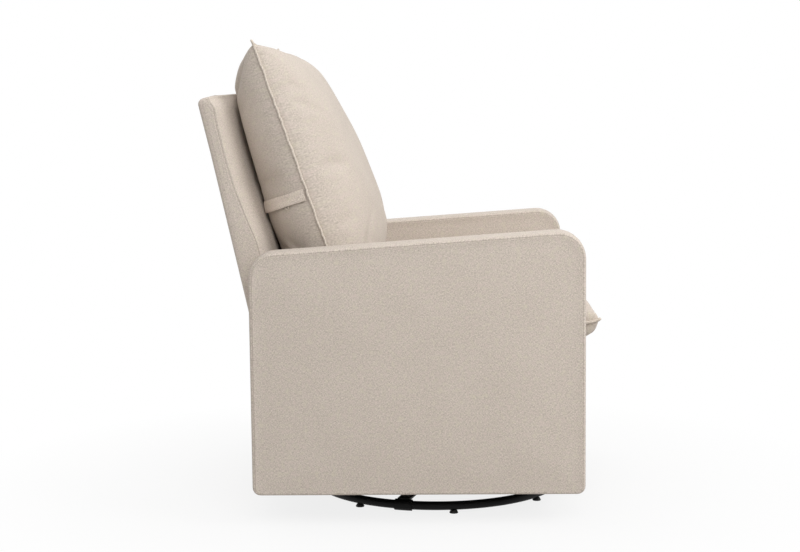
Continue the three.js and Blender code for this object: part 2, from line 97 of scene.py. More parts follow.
def plug(tree, slot, value):  # a number or colour is set on the socket, a wire is linked to it
    if isinstance(value, Wire):
        tree.links.new(value.socket, slot)
    elif value is not None:
        slot.default_value = value


class Graph:  # a node tree, and the one method that adds a node to it
    def __init__(self, tree):
        self.tree = tree

    def node(self, kind, settings=None, out=0, **inputs):
        node = self.tree.nodes.new("ShaderNode" + kind)
        for key, value in (settings or {}).items():
            setattr(node, key, value)
        for key, value in inputs.items():  # i3=... is the fourth socket, any other key is a socket's name
            slot = node.inputs[int(key[1:])] if key[1:].isdigit() else node.inputs[key]
            plug(self.tree, slot, value)
        return Wire(self.tree, node.outputs[out])


class Finish(Graph):  # one material: wear() wires what varies over the surface and returns the material
    def __init__(self, name, colour, roughness, **fixed):
        self.material = bpy.data.materials.new(name)
        self.material.use_nodes = True
        self.material.diffuse_color = (*colour, 1)
        super().__init__(self.material.node_tree)
        self.shader = self.tree.nodes["Principled BSDF"]
        self.shader.inputs["Base Color"].default_value = (*colour, 1)
        self.shader.inputs["Roughness"].default_value = roughness
        for socket, value in fixed.items():
            self.shader.inputs[socket.replace("_", " ")].default_value = value

    def place(self, scale, uv=None):  # where a pattern lies: on the piece's weave map, or in the frame
        start = self.node("UVMap", {"uv_map": uv}) if uv else self.node("TexCoord", out=3)
        return self.node("Mapping", Vector=start, Scale=scale)

    def noise(self, place, scale=1.0, detail=2.0, roughness=0.5):
        return self.node("TexNoise", Vector=place, Scale=scale, Detail=detail, Roughness=roughness)

    def blend(self, amount, a, b):
        return self.node("Mix", {"data_type": "RGBA"}, out=2, i0=amount, i6=a, i7=b)

    def wear(self, colour=None, roughness=None, height=None, strength=0.3, distance=0.001):
        if colour is not None:
            plug(self.tree, self.shader.inputs["Base Color"], colour)
        if roughness is not None:
            plug(self.tree, self.shader.inputs["Roughness"], roughness)
        if height is not None:
            bump = self.node("Bump", Height=height, Strength=strength, Distance=distance)
            plug(self.tree, self.shader.inputs["Normal"], bump)
        return self.material


# Materials: a scale is the number of noise cells in a metre
clothLook = {
    "light": (0.697, 0.619, 0.552),
    "dark": (0.440, 0.384, 0.328),
    "fleck": (0.300, 0.250, 0.205),
    "rosy": (0.640, 0.540, 0.490),
    "sandy": (0.630, 0.580, 0.465),
    "thread": 0.0016,  # pitch of the weave
    "slub": (640, 170),  # across and along a yarn
    "strokes": 4.5,
    "mottle": 2.6,
    "mottleScale": 640.0,
    "broad": 0.35,
    "broadScale": 12.0,
    "tint": 2.6,
    "tintScale": 85.0,
    "speckScale": (380, 260, 1),
    "speckLevel": 0.68,
    "speckShare": 0.38,
    # strength of the painted shade in the hollows between the yarns
    "yarnGapPaintedShade": 0.16,
    "relief": 0.0007,
}


def wovenCloth(name, look, tone=1.0, grain=1.0, fine=1.0):
    # Plain weave with uneven yarns and heathered flecks, on the weave map in metres.
    keys = ("light", "dark", "fleck", "rosy", "sandy")
    light, dark, fleck, rosy, sandy = [tuple(tone * c for c in look[k]) for k in keys]
    cloth = Finish(name, light, 0.92, Sheen_Weight=0.12, Sheen_Roughness=0.5, Specular_IOR_Level=0.2)
    flat = cloth.place((1, 1, 1), "weave")
    across, along = [cloth.node("SeparateXYZ", Vector=flat, out=k) for k in (0, 1)]
    turn = math.pi / look["thread"]
    warp, weft = (across * turn).sine(), (along * turn).sine()
    over = (warp * weft).above(0.0)
    yarns = over * abs(warp) + (1 - over) * abs(weft)
    thin, long = [fine * scale for scale in look["slub"]]
    slubWarp = cloth.noise(cloth.place((thin, long, 1), "weave"), 1.0, 2.0, 0.6)
    slubWeft = cloth.noise(cloth.place((long, thin, 1), "weave"), 1.0, 2.0, 0.6)
    slub = over * slubWarp + (1 - over) * slubWeft
    strokes = slubWarp + slubWeft - 1.0
    mottle = cloth.noise(flat, look["mottleScale"], 2.0, 0.6) - 0.5
    broad = (cloth.noise(flat, look["broadScale"], 2.0, 0.5) - 0.5) * look["broad"]
    shade = 0.5 + strokes * (grain * look["strokes"]) + mottle * (grain * look["mottle"]) + broad
    body = cloth.blend(shade, (*dark, 1), (*light, 1))
    tint = (cloth.noise(flat, look["tintScale"], 2.0, 0.6) - 0.5) * look["tint"]
    body = cloth.blend(tint, body, (*rosy, 1))
    body = cloth.blend(tint * -1.0, body, (*sandy, 1))
    speck = cloth.noise(cloth.place(look["speckScale"], "weave"), 1.0, 1.0, 0.5).above(look["speckLevel"])
    # The flecks are the cloth's own colour. The hollows between the yarns, where the weave's height is low,
    # are darkened toward the fleck colour as painted shade.
    darker = speck * (look["speckShare"] * grain) + (1 - yarns) * look["yarnGapPaintedShade"]
    height = yarns * 0.55 + slub * 1.1 + mottle * 0.4
    colour = cloth.blend(darker, body, (*fleck, 1))
    return cloth.wear(colour, height=height, strength=0.5, distance=look["relief"])


threadLook = {
    "dark": (0.52, 0.45, 0.38, 1),
    "light": (0.74, 0.67, 0.59, 1),
    "twist": (900.0, 700.0),  # round and along the cord
    "mottleScale": 260.0,
}


def seamThread(name):  # the twisted-looking fold of a welt; its map runs round and along the cord
    cloth = Finish(name, clothLook["light"], 0.9, Sheen_Weight=0.1, Specular_IOR_Level=0.2)
    flat = cloth.place((1, 1, 1), "weave")
    across, along = [cloth.node("SeparateXYZ", Vector=flat, out=k) for k in (0, 1)]
    roundCord, alongCord = threadLook["twist"]
    twist = (across * roundCord + along * alongCord).sine() * 0.5 + 0.5
    mottle = cloth.noise(flat, threadLook["mottleScale"], 2.0, 0.6)
    colour = cloth.blend(twist * 0.45 + mottle * 0.5, threadLook["dark"], threadLook["light"])
    return cloth.wear(colour, height=twist * 0.8 + mottle, strength=0.5)


def powderCoat(name):  # black powder coat: fine orange peel, rubbed a little paler in patches
    coat = Finish(name, (0.003, 0.003, 0.0032), 0.5, Specular_IOR_Level=0.14)
    place = coat.place((1, 1, 1))
    peel = coat.noise(place, 900.0, 2.0)
    rub = coat.noise(place, 35.0, 4.0, 0.7) ** 3.0
    colour = coat.blend(rub * 1.2, (0.002, 0.002, 0.0022, 1), (0.012, 0.0117, 0.0115, 1))
    return coat.wear(colour, 0.44 + rub * 0.4 + peel * 0.08, peel, 0.12, 0.0004)


def platedSteel(name, tone, metallic=0.95):  # zinc plate or oiled wire: drawn streaks and dull spots
    steel = Finish(name, (tone, tone, tone), 0.35, Metallic=metallic)
    streak = steel.noise(steel.place((40, 900, 900)), 1.0, 3.0, 0.6)
    spots = steel.noise(steel.place((1, 1, 1)), 130.0, 4.0, 0.7)
    dull = (tone * 0.72, tone * 0.72, tone * 0.7, 1)
    bright = (tone * 1.1, tone * 1.1, tone * 1.12, 1)
    colour = steel.blend(spots, dull, bright)
    return steel.wear(colour, 0.25 + spots * 0.3, streak, 0.15, 0.0003)


def timber(name, light, dark, grain):  # straight grain along X, with darker rings and pores
    wood = Finish(name, light, 0.6)
    place = wood.place(grain)
    rings = wood.noise(place, 1.0, 5.0, 0.62)
    pores = wood.noise(wood.place(tuple(9 * g for g in grain)), 1.0, 2.0)
    bands = ((rings * 40.0).sine() * 0.5 + 0.5) * 0.5 + pores * 0.4
    colour = wood.blend(bands, (*light, 1), (*dark, 1))
    return wood.wear(colour, 0.5 + pores * 0.25, pores + bands * 0.3, 0.2, 0.0005)


def fibres(name, light, dark, roughness, scale, strength):  # felt, cambric, rubber or nylon
    stuff = Finish(name, light, roughness, Specular_IOR_Level=0.3)
    place = stuff.place((1, 1, 1))
    fine, broad = stuff.noise(place, scale, 4.0, 0.7), stuff.noise(place, scale / 25, 2.0)
    shade = fine * 0.7 + broad * 0.4 - 0.05
    colour = stuff.blend(shade, (*dark, 1), (*light, 1))
    return stuff.wear(colour, roughness - 0.1 + fine * 0.2, fine, strength, 0.0005)


print("stage: materials")
clothArm = wovenCloth("armCloth", clothLook, fine=1.5)
# Painted light: the back's cloth is the arm weave made 6% lighter, so the back's side reads brighter than the
# arm's side beside it. The front border wears it too.
clothBackPaintedLight = wovenCloth("backClothPaintedLight", clothLook, 1.06, fine=1.5)
clothPillow = wovenCloth("pillowCloth", clothLook, 1.02, 0.45, 1.6)
# Painted light: the strap cloth is the pillow's weave made 28% lighter, so the strap reads as lit against the
# shaded rear panel of the pillow.
clothStrapPaintedLight = wovenCloth("strapClothPaintedLight", clothLook, 1.28, 0.45, 1.6)
weltCloth = seamThread("weltCloth")
blackCoat = powderCoat("blackPowderCoat")
zincPlate = platedSteel("zincPlate", 0.58)
springWire = platedSteel("springWire", 0.28)
beech = timber("beechRail", (0.60, 0.43, 0.27), (0.42, 0.28, 0.16), (2, 60, 60))
birchPly = timber("birchPly", (0.68, 0.52, 0.34), (0.52, 0.37, 0.22), (90, 3, 30))
needleFelt = fibres("needleFelt", (0.58, 0.54, 0.48), (0.40, 0.37, 0.33), 0.95, 500.0, 0.4)
blackCambric = fibres("blackCambric", (0.030, 0.030, 0.030), (0.012, 0.012, 0.012), 0.9, 700.0, 0.3)
blackRubber = fibres("blackRubber", (0.026, 0.026, 0.026), (0.014, 0.014, 0.014), 0.8, 400.0, 0.2)
blackNylon = fibres("blackNylon", (0.022, 0.022, 0.022), (0.012, 0.012, 0.012), 0.5, 600.0, 0.1)

slotLooks = {
    "black_steel": blackCoat, "zinc_steel": zincPlate, "spring_steel": springWire, "hardwood": beech,
    "plywood": birchPly, "felt": needleFelt, "cambric": blackCambric, "rubber": blackRubber,
    "nylon": blackNylon, "woven_fabric": clothArm,
}
slotOf = {part["node"]: part["material_slot"] for part in frame["record"]["subparts"]}
for name, node in nodes.items():
    node.data.materials.clear()
    node.data.materials.append(slotLooks[slotOf[name]])


# Mesh helpers
def meshOf(name, patches, material, body, stands=(), sharp=None):
    # Each patch is a grid of points with a map in metres: points[rows, columns, 3], map[rows, columns, 2].
    # The grids' shared edges are merged, so the piece is one closed skin with its faces outwards.
    points, faces, maps, start = [], [], [], 0
    for place, weave in patches:
        rows, columns = place.shape[:2]
        i, j = np.arange(rows - 1)[:, None], np.arange(columns - 1)[None, :]
        corner = i * columns + j
        quads = np.stack([corner, corner + 1, corner + columns + 1, corner + columns], -1)
        points.append(place.reshape(-1, 3))
        faces.append(quads.reshape(-1, 4) + start)
        maps.append(weave.reshape(-1, 2)[quads.reshape(-1)])
        start += rows * columns
    mesh = bpy.data.meshes.new(name)
    mesh.from_pydata(np.concatenate(points).tolist(), [], np.concatenate(faces).tolist())
    mesh.uv_layers.new(name="weave").data.foreach_set("uv", np.concatenate(maps).ravel())
    shell = bmesh.new()
    shell.from_mesh(mesh)
    bmesh.ops.remove_doubles(shell, verts=shell.verts, dist=2e-6)
    bmesh.ops.dissolve_degenerate(shell, edges=shell.edges, dist=1e-6)
    bmesh.ops.recalc_face_normals(shell, faces=shell.faces)
    shell.to_mesh(mesh)
    shell.free()
    return dress(bpy.data.objects.new(name, mesh), material, body, stands, sharp)


def dress(piece, material, body, stands=(), sharp=None):
    if piece.name not in scene.collection.objects:
        scene.collection.objects.link(piece)
    mesh = piece.data
    mesh.polygons.foreach_set("use_smooth", np.ones(len(mesh.polygons), bool))
    if sharp:
        mesh.set_sharp_from_angle(angle=math.radians(sharp))
    mesh.materials.clear()
    mesh.materials.append(material)
    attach(piece, body)
    if stands:
        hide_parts(*stands)
    return piece


def ripple(a, b, size, seed):  # a sum of a few long slow waves over (a, b), between about -1 and 1
    draw = np.random.RandomState(seed)
    total = 0
    for _ in range(6):
        angle, phase, reach = draw.uniform(0, 2 * np.pi, 2).tolist() + [draw.uniform(0.7, 1.6) * size]
        total = total + np.sin((a * np.cos(angle) + b * np.sin(angle)) * 2 * np.pi / reach + phase)
    return total / 3.5


def roundedOutline(corners, step):
    # An anticlockwise outline through corners (a, b, radius), as points, outward normals and running lengths.
    points, normals, arcs = [], [], []
    count = len(corners)
    flat = np.array([c[:2] for c in corners], float)
    for k, (_, _, radius) in enumerate(corners):
        before, after = flat[k - 1] - flat[k], flat[(k + 1) % count] - flat[k]
        before, after = before / np.linalg.norm(before), after / np.linalg.norm(after)
        half = np.arccos(before @ after) / 2
        middle = flat[k] + (before + after) / np.linalg.norm(before + after) * radius / np.sin(half)
        first, last = np.arctan2(before[0], -before[1]), np.arctan2(-after[0], after[1])
        steps = max(3, int(radius * (np.pi - 2 * half) / (step * 0.6)))
        angle = first + np.linspace(0, (last - first + 2 * np.pi) % (2 * np.pi), steps)
        normal = np.stack([np.cos(angle), np.sin(angle)], -1)
        arcs.append((middle + radius * normal, normal))
    for k in range(count):
        points.append(arcs[k][0])
        normals.append(arcs[k][1])
        end, start = arcs[k][0][-1], arcs[(k + 1) % count][0][0]
        steps = max(1, int(np.linalg.norm(start - end) / step))
        share = np.linspace(0, 1, steps + 1)[1:-1, None]
        points.append(end + (start - end) * share)
        normals.append(np.repeat(arcs[k][1][-1:], len(share), 0))
    points, normals = np.concatenate(points), np.concatenate(normals)
    points, normals = np.vstack([points, points[:1]]), np.vstack([normals, normals[:1]])
    lengths = np.concatenate([[0], np.cumsum(np.linalg.norm(np.diff(points, axis=0), axis=1))])
    return points, normals, lengths


slab = {
    "lips": (4.0, 2.4, 1.2, 0.5, 0.0),  # how far each row lies from the edge, as multiples of the groove
    "dips": (0.0, -0.35, -0.45, 0.2, 1.0),  # how deep each row lies, as multiples of the groove
    "wave": 0.0007,
    "waveReach": 0.22,
}


def paddedSlab(name, corners, x0, x1, shape, material, stands, seed):
    # A board's padded cover: two flat faces sewn to a band round their edge. The band bows out by the crown,
    # each face domes by its puff, and a groove runs between two lips where face and band are sewn.
    points, normals, lengths = roundedOutline(corners, shape["step"])
    centre = points[:-1].mean(0)
    middle, half, edge = (x0 + x1) / 2, (x1 - x0) / 2, shape["edge"]
    groove = shape["groove"] * np.clip(1.6 + 1.6 * normals[:, 1], 0.0, 1)  # it dies away along the bottom
    inset = edge + np.array(slab["lips"]) * shape["groove"]
    sink = np.array(slab["dips"])[:, None] * groove
    share = np.linspace(0, 1, shape["rings"])[:-1, None, None]
    rim = points - normals * inset[0]
    lipPlane = points - normals * inset[:, None, None]
    facePlane = np.concatenate([centre + (rim - centre) * share**0.8, lipPlane])
    faceDepth = np.concatenate([np.zeros((len(share), len(points))), sink])
    reach = np.concatenate([share[:, 0, 0] ** 0.8, np.ones(5)])[:, None]
    wave = slab["wave"] * ripple(facePlane[..., 0], facePlane[..., 1], slab["waveReach"], seed)
    dome = shape["puff"] * (1 - reach**3) + wave * (1 - reach**6)
    turn = np.radians([8, 18, 34, 52, 70, 90])
    bow = np.linspace(0, 1, shape["bandRows"])[1:]
    bandInset = np.concatenate([[edge], edge * (1 - np.sin(turn)), 0 * bow])
    bandDepth = np.concatenate([[0], edge * (1 - np.cos(turn)), edge + bow * (half - edge)])
    bandCrown = np.clip((bandDepth - edge) / (half - edge), 0, 1)
    bandInset = bandInset - shape["crown"] * np.sin(bandCrown * np.pi / 2)
    bandInset = np.concatenate([bandInset, bandInset[-2::-1]])
    dip = np.concatenate([[1.0, -0.3, -0.3], np.zeros(len(bandDepth) - 3)])[:, None] * groove
    bandDepth = bandDepth[:, None] + dip
    bandX = np.concatenate([middle + half - bandDepth, (middle - half + bandDepth)[-2::-1]])
    bandPlane = points - normals * bandInset[:, None, None]
    patches = []
    for side in (1, -1):
        x = middle + side * (half - faceDepth + dome)
        place = np.concatenate([x[..., None], facePlane], -1)
        patches.append((place, facePlane * [side, 1]))
    weave = np.stack([bandX, lengths + np.zeros(bandX.shape)], -1)
    patches.append((np.concatenate([bandX[..., None], bandPlane], -1), weave))
    return meshOf(name, patches, material, "chair", stands)


# Arms
arm = {
    "topFall": math.radians(3.75),
    "cornerDrop": 0.0030,  # how far the top line stays below the solid's top
    "endInset": 0.0004,
    "sideInset": 0.001,
    "frontRadius": 0.056,
    "rearRadius": 0.054,
    "footRadius": 0.017,
    "edge": 0.0062,
    "groove": 0.0011,
    "puff": 0.0055,
    "crown": 0.0018,
    "step": 0.007,
    "rings": 16,
    "bandRows": 9,
}


def makeArm(side, seed):
    low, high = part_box(f"arm_cover_{side}")
    slope = math.tan(arm["topFall"])
    cornerZ = high.z + arm["frontRadius"] * slope - arm["cornerDrop"]
    rearZ = cornerZ - (high.y - low.y) * slope
    corners = [
        (low.y + arm["endInset"], low.z, arm["footRadius"]),
        (high.y - arm["endInset"], low.z, arm["footRadius"]),
        (high.y - arm["endInset"], rearZ, arm["rearRadius"]),
        (low.y + arm["endInset"], cornerZ, arm["frontRadius"]),
    ]
    x0, x1 = low.x + arm["sideInset"], high.x - arm["sideInset"]
    piece = paddedSlab(f"armUpholstery_{side}", corners, x0, x1, arm, clothArm, [f"arm_cover_{side}"], seed)


print("stage: arms")
makeArm("left", 3)
makeArm("right", 5)


# Front border
border = {
    "bottomRadius": 0.008,
    "topRadius": 0.009,
    "rearRadius": 0.002,
    "inset": 0.0005,
    "edge": 0.006,
    "groove": 0.0006,
    "puff": 0.001,
    "crown": 0.003,
    "step": 0.006,
    "rings": 6,
    "bandRows": 24,
}


def makeBorder():
    low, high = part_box("front_border")
    crown, inset = border["crown"], border["inset"]
    corners = [
        (low.y + crown, low.z + crown, border["bottomRadius"]),
        (high.y - inset, low.z + crown, border["rearRadius"]),
        (high.y - inset, high.z - inset, border["rearRadius"]),
        (low.y + crown, high.z - inset, border["topRadius"]),
    ]
    piece = paddedSlab("frontBorderPad", corners, low.x, high.x, border, clothBackPaintedLight, ["front_border"], 7)


makeBorder()

# Stitches
stitch = {"length": 0.0034, "pitch": 0.0052, "radius": 0.00042, "lift": 0.0001}


def sewStitches(name, path, up):
    # Short threads end to end along an open path. Each is a small spindle of radius * sqrt(1 - t^4).
    run = np.concatenate([[0], np.cumsum(np.linalg.norm(np.diff(path, axis=0), axis=1))])
    even = np.arange(stitch["pitch"] / 2, run[-1], stitch["pitch"])
    middle = np.stack([np.interp(even, run, path[:, k]) for k in range(3)], -1)
    ahead = np.gradient(middle, axis=0)
    ahead = ahead / np.linalg.norm(ahead, axis=1, keepdims=True)
    side = np.cross(ahead, np.asarray(up, float))
    side = side / np.linalg.norm(side, axis=1, keepdims=True)
    rise = np.cross(side, ahead)
    t = np.array([-1, -0.8, 0, 0.8, 1])[:, None]
    turn = np.linspace(0, 2 * np.pi, 7)[None, :]
    thick = stitch["radius"] * np.sqrt(1 - t**4)
    a, b, c = t * stitch["length"] / 2 + 0 * turn, thick * np.cos(turn), thick * np.sin(turn) + stitch["lift"]
    axes = [v[:, None, None, :] for v in (ahead, side, rise)]
    place = middle[:, None, None, :] + sum(v * g[None, :, :, None] for v, g in zip(axes, (a, b, c)))
    weave = np.stack([b, a], -1)
    patches = [(one, weave) for one in place]
    meshOf(name, patches, weltCloth, "chair")


# Back
back = {
    "outerRake": math.radians(12.3),
    "innerRake": math.radians(13.8),
    "bendZ": 0.400,
    "topDepth": 0.068,
    "rearRadius": 0.013,
    "frontRadius": 0.012,
    "frontRoll": 0.044,  # how far the front corner rolls back to the seam, at most
    "rollWidth": 4.6,  # its width across the chair as a share of that; it falls away as s^rollPower
    "rollPower": 1.4,
    "rearRoll": 0.010,
    "topTilt": 0.19,
    "lowerThickness": 0.012,
    "seamDown": (0.0067, 0.0257, 0.0615, 0.1143, 0.1886, 0.2526, 0.3061, 0.56),  # below the top
    "seamAhead": (0.0204, 0.0326, 0.0381, 0.0496, 0.0692, 0.0934, 0.1157, 0.185),  # in front of the rear
    "groove": 0.0012,
    "crown": 0.003,
    "sideBow": 0.0025,
    "sideInset": 0.0005,
    "footRadius": 0.006,
    "stitchOffset": 0.0002,
    "rowStep": 0.007,
    "columns": 37,  # across half of a face
    "rollSteps": 16,
}


def lips(reach):  # distances from a seam, near ones last: a gentle run, then the two lips of the sewn groove
    share = np.linspace(0, 1, 8)[:-1][None, :]
    near = np.minimum(np.array([0.0034, 0.0020, 0.0009, 0.0])[None, :], reach * 0.9)
    return np.concatenate([reach + (0.0045 - reach) * share * (reach > 0.006), near], 1)


def stitchBack(x, y, z, bottom, top):  # a row of stitches beside each side seam
    for side, mirror in (("left", 1), ("right", -1)):
        path = np.stack([mirror * (x + back["stitchOffset"]), y, z], -1)
        path = path[(z > bottom + 0.02) & (z < top - 0.02)]
        sewStitches(f"backStitches_{side}", path, (mirror, 0, 0))


def makeBack():
    # Level sections from the skirt to the top, each a rounded rectangle between the front and rear faces.
    low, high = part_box("back_cover")
    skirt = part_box("back_outer_panel")[0].z
    halfX = high.x - back["sideInset"]
    top, rear, rake = high.z, high.y, back["outerRake"]
    rearCorner = rear + back["rearRadius"] * (1 / math.cos(rake) + math.tan(rake) - 1)
    stepZ = low.z + 0.004  # where the padding of the inside back begins, above the deck
    straight = np.arange(skirt, top - back["rearRadius"], back["rowStep"])
    straight = np.sort(np.concatenate([straight, stepZ + np.array([-0.002, 0.0, 0.003, 0.007])]))
    roll = np.radians([0, 15, 30, 45, 60, 75, 90])
    z = np.concatenate([straight, top - back["rearRadius"] * (1 - np.sin(roll))])
    inset = np.concatenate([0 * straight, back["rearRadius"] * (1 - np.cos(roll))])
    foot = np.clip((z - skirt) / 0.008, 0, 1)
    inset = inset + back["footRadius"] * (1 - np.sqrt(1 - (1 - foot) ** 2))
    rearY = rearCorner - (top - np.maximum(z, back["bendZ"])) * math.tan(rake) - inset
    innerY = rear - back["topDepth"] - (top - z) * math.tan(back["innerRake"])
    innerY = innerY + inset * back["frontRadius"] / back["rearRadius"]
    padded = z > stepZ
    lift = np.clip((z - stepZ) / 0.008, 0, 1)
    frontY = np.where(padded, innerY + (1 - lift) * 0.01, rearY - back["lowerThickness"])
    frontY = np.minimum(frontY, rearY - 0.004)
    side, depth = halfX - inset, rearY - frontY
    rearRoll = np.minimum(back["rearRoll"], depth * 0.4)
    seamY = rear - np.interp(top - z, back["seamDown"], back["seamAhead"])
    seamY = np.where(padded, seamY, frontY + depth * 0.5)
    seamY = np.clip(seamY, frontY + depth * 0.3, rearY - rearRoll - 0.0005)
    frontRoll = np.minimum(back["frontRoll"], (seamY - frontY) * 0.9)
    fade = (back["groove"] * np.clip((top - 0.012 - z) / 0.02, 0, 1) * padded)[:, None]
    body = (np.clip((z - stepZ) / 0.1, 0, 1) * np.clip((top - z) / 0.05, 0, 1))[:, None]
    middle = (frontY + rearY) / 2
    patches = []
    for face, sign, radius, wide in ((frontY, 1, frontRoll, back["rollWidth"]), (rearY, -1, rearRoll, 1)):
        # from the middle of a face, round its corner and along the side to the seam
        x = np.linspace(0, 1, back["columns"])[None, :]
        faceX = x * (side - radius * wide)[:, None]
        faceY = face[:, None] + back["crown"] * (1 - x**4) * body * (sign < 0)
        if sign > 0:
            s = 1 - np.linspace(0, 1, back["rollSteps"] + 1)[None, 1:]
            arcX = side[:, None] - (radius * wide)[:, None] * s ** back["rollPower"]
            arcY = face[:, None] + radius[:, None] * (1 - s)
        else:
            arc = np.radians(np.linspace(0, 90, 9)[1:])[None, :]
            arcX = side[:, None] - radius[:, None] * (1 - np.sin(arc))
            arcY = face[:, None] - radius[:, None] * (1 - np.cos(arc))
        away = lips(np.abs(seamY - face - sign * radius)[:, None])[:, 1:]
        sideY = seamY[:, None] - sign * away
        bow = back["sideBow"] * np.sin(np.pi * np.clip((sideY - frontY[:, None]) / depth[:, None], 0, 1))
        dip = np.array([0, 0, 0, 0, 0, 0, -0.25, -0.4, 0.0, 1.0])[None, :] * fade
        sideX = side[:, None] + bow * np.clip(depth / 0.06, 0, 1)[:, None] - dip
        gridX = np.concatenate([faceX, arcX, sideX], 1)
        gridY = np.concatenate([faceY, arcY, sideY], 1)
        gridZ = z[:, None] + 0 * gridX
        lidX, lidY = np.clip(gridX[-1], 0, side[-1] - 0.02), middle[-1] + 0 * gridY[-1]
        share = np.array([0.35, 0.7, 1.0])[:, None]
        gridX = np.vstack([gridX, gridX[-1] + (lidX - gridX[-1]) * share])
        gridY = np.vstack([gridY, gridY[-1] + (lidY - gridY[-1]) * share])
        gridZ = np.vstack([gridZ, top + 0.0012 * np.sin(share * np.pi / 2) + 0 * lidX])
        soleX, soleY = np.clip(gridX[0], 0, side[0] - 0.005), middle[0] + 0 * gridY[0]
        share = np.array([1.0, 0.5])[:, None]
        gridX = np.vstack([gridX[0] + (soleX - gridX[0]) * share, gridX])
        gridY = np.vstack([gridY[0] + (soleY - gridY[0]) * share, gridY])
        gridZ = np.vstack([skirt + 0 * share * soleX, gridZ])
        run = np.cumsum(np.hypot(np.diff(gridX, prepend=0), np.diff(gridY, prepend=gridY[:, :1])), 1)
        climb = np.hypot(np.diff(gridZ[:, 0], prepend=skirt), 0.4 * np.diff(gridY[:, 0], prepend=gridY[0, 0]))
        rise = np.cumsum(climb)
        middleY = np.pad(middle, (2, 3), mode="edge")[:, None]
        gridZ = gridZ - back["topTilt"] * (gridY - middleY) * np.clip((gridZ - top + 0.12) / 0.1, 0, 1)
        if sign > 0:
            stitchBack(gridX[:, -5], gridY[:, -5], gridZ[:, -5], stepZ, top)
        for mirror in (1, -1):
            grid = np.stack([mirror * gridX, gridY, gridZ], -1)
            patches.append((grid, np.stack([mirror * sign * run, rise[:, None] + 0 * run], -1)))
    stands = ["back_cover", "back_outer_panel"]
    piece = meshOf("backUpholstery", patches, clothBackPaintedLight, "chair", stands)


print("stage: back")
makeBack()


# Stuffed cushions
def stuffedMesh(name, shape, matrix):
    # Two panels share one seam. Over u, v in -1..1 each stands off the seam plane by
    # depth * ((1 - |u|^pu) * (1 - |v|^pv))^q * (1 + lean * v), where pv differs above and below the middle,
    # and the sides pull in by pull * (1 - v^2) between the corners.
    nu, nv = shape["count"]
    even = [np.linspace(-1, 1, count) for count in (nu, nv)]
    spread = [0.55 * t + 0.45 * np.sin(t * np.pi / 2) for t in even]  # closer together near the seam
    u, v = np.meshgrid(*spread, indexing="ij")
    a = u * shape["width"] / 2 - np.sign(u) * shape["pull"] * np.abs(u) ** 3 * (1 - v**2)
    b = (v + 1) * shape["length"] / 2 - np.sign(v) * shape["pull"] * np.abs(v) ** 3 * (1 - u**2)
    panels = []
    for sign, (depth, pu, low, high, q, lean) in ((-1, shape["front"]), (1, shape["rear"])):
        pv = np.where(v < 0, low, high)
        lift = depth * ((1 - np.abs(u) ** pu) * (1 - np.abs(v) ** pv)) ** q * (1 + lean * v)
        panels.append(np.stack([a, sign * lift, b], -1))
    index = np.arange(nu * nv).reshape(nu, nv)
    edge = np.ones((nu, nv), bool)
    edge[1:-1, 1:-1] = False
    under = index.copy()
    under[~edge] = nu * nv + np.arange((~edge).sum())
    points = np.vstack([panels[0].reshape(-1, 3), panels[1][~edge]])
    points = points @ np.array(matrix.to_3x3()).T + np.array(matrix.translation)
    front = quadsOf(index)
    faces = np.vstack([front, quadsOf(under)[:, ::-1]])
    flat = np.stack([u * shape["width"] / 2, (v + 1) * shape["length"] / 2], -1).reshape(-1, 2)
    mesh = bpy.data.meshes.new(name)
    mesh.from_pydata(points.tolist(), [], faces.tolist())
    weave = np.vstack([flat[front.ravel()], flat[front[:, ::-1].ravel()]])
    mesh.uv_layers.new(name="weave").data.foreach_set("uv", weave.ravel())
    piece = bpy.data.objects.new(name, mesh)
    scene.collection.objects.link(piece)
    piece.vertex_groups.new(name="seam").add(index[edge].tolist(), 1.0, "REPLACE")
    return piece, index, under, spread


def quadsOf(index):
    return np.stack([index[:-1, :-1], index[1:, :-1], index[1:, 1:], index[:-1, 1:]], -1).reshape(-1, 4)


def pointsOf(mesh):
    flat = np.empty(len(mesh.vertices) * 3)
    mesh.vertices.foreach_get("co", flat)
    return flat.reshape(-1, 3)


air = {"quality": 6, "frames": 20, "mass": 0.25, "shear": 6}


def inflate(piece, sim):
    # Cloth with air pressure and no gravity, held at the seam. No point moves further than the cap.
    before = pointsOf(piece.data)
    cloth = piece.modifiers.new("air", "CLOTH")
    cloth.settings.quality = air["quality"]
    cloth.settings.mass = air["mass"]
    cloth.settings.use_pressure = True
    cloth.settings.uniform_pressure_force = sim["pressure"]
    cloth.settings.tension_stiffness = sim["tension"]
    cloth.settings.compression_stiffness = sim["tension"]
    cloth.settings.shear_stiffness = air["shear"]
    cloth.settings.bending_stiffness = sim["bending"]
    cloth.settings.shrink_min = sim["shrink"]
    cloth.settings.vertex_group_mass = "seam"
    cloth.settings.effector_weights.gravity = 0
    cloth.point_cache.frame_start, cloth.point_cache.frame_end = 1, air["frames"]
    scene.frame_start, scene.frame_end = 1, air["frames"]
    for step in range(1, air["frames"] + 1):
        scene.frame_set(step)
    after = pointsOf(piece.evaluated_get(bpy.context.evaluated_depsgraph_get()).to_mesh())
    piece.modifiers.remove(cloth)
    scene.frame_set(1)
    move = after - before
    length = np.linalg.norm(move, axis=1, keepdims=True)
    print("inflated", piece.name, "moved up to", round(float(length.max()), 4))
    return before + move * np.minimum(1, sim["cap"] / np.maximum(length, 1e-9))


def finishCushion(piece, points, node):
    piece.data.vertices.foreach_set("co", np.ascontiguousarray(points).ravel())
    piece.data.update()
    piece.vertex_groups.clear()
    rounding = piece.modifiers.new("rounding", "SUBSURF")
    rounding.levels = rounding.render_levels = 1
    dress(piece, clothPillow, "chair", [node])


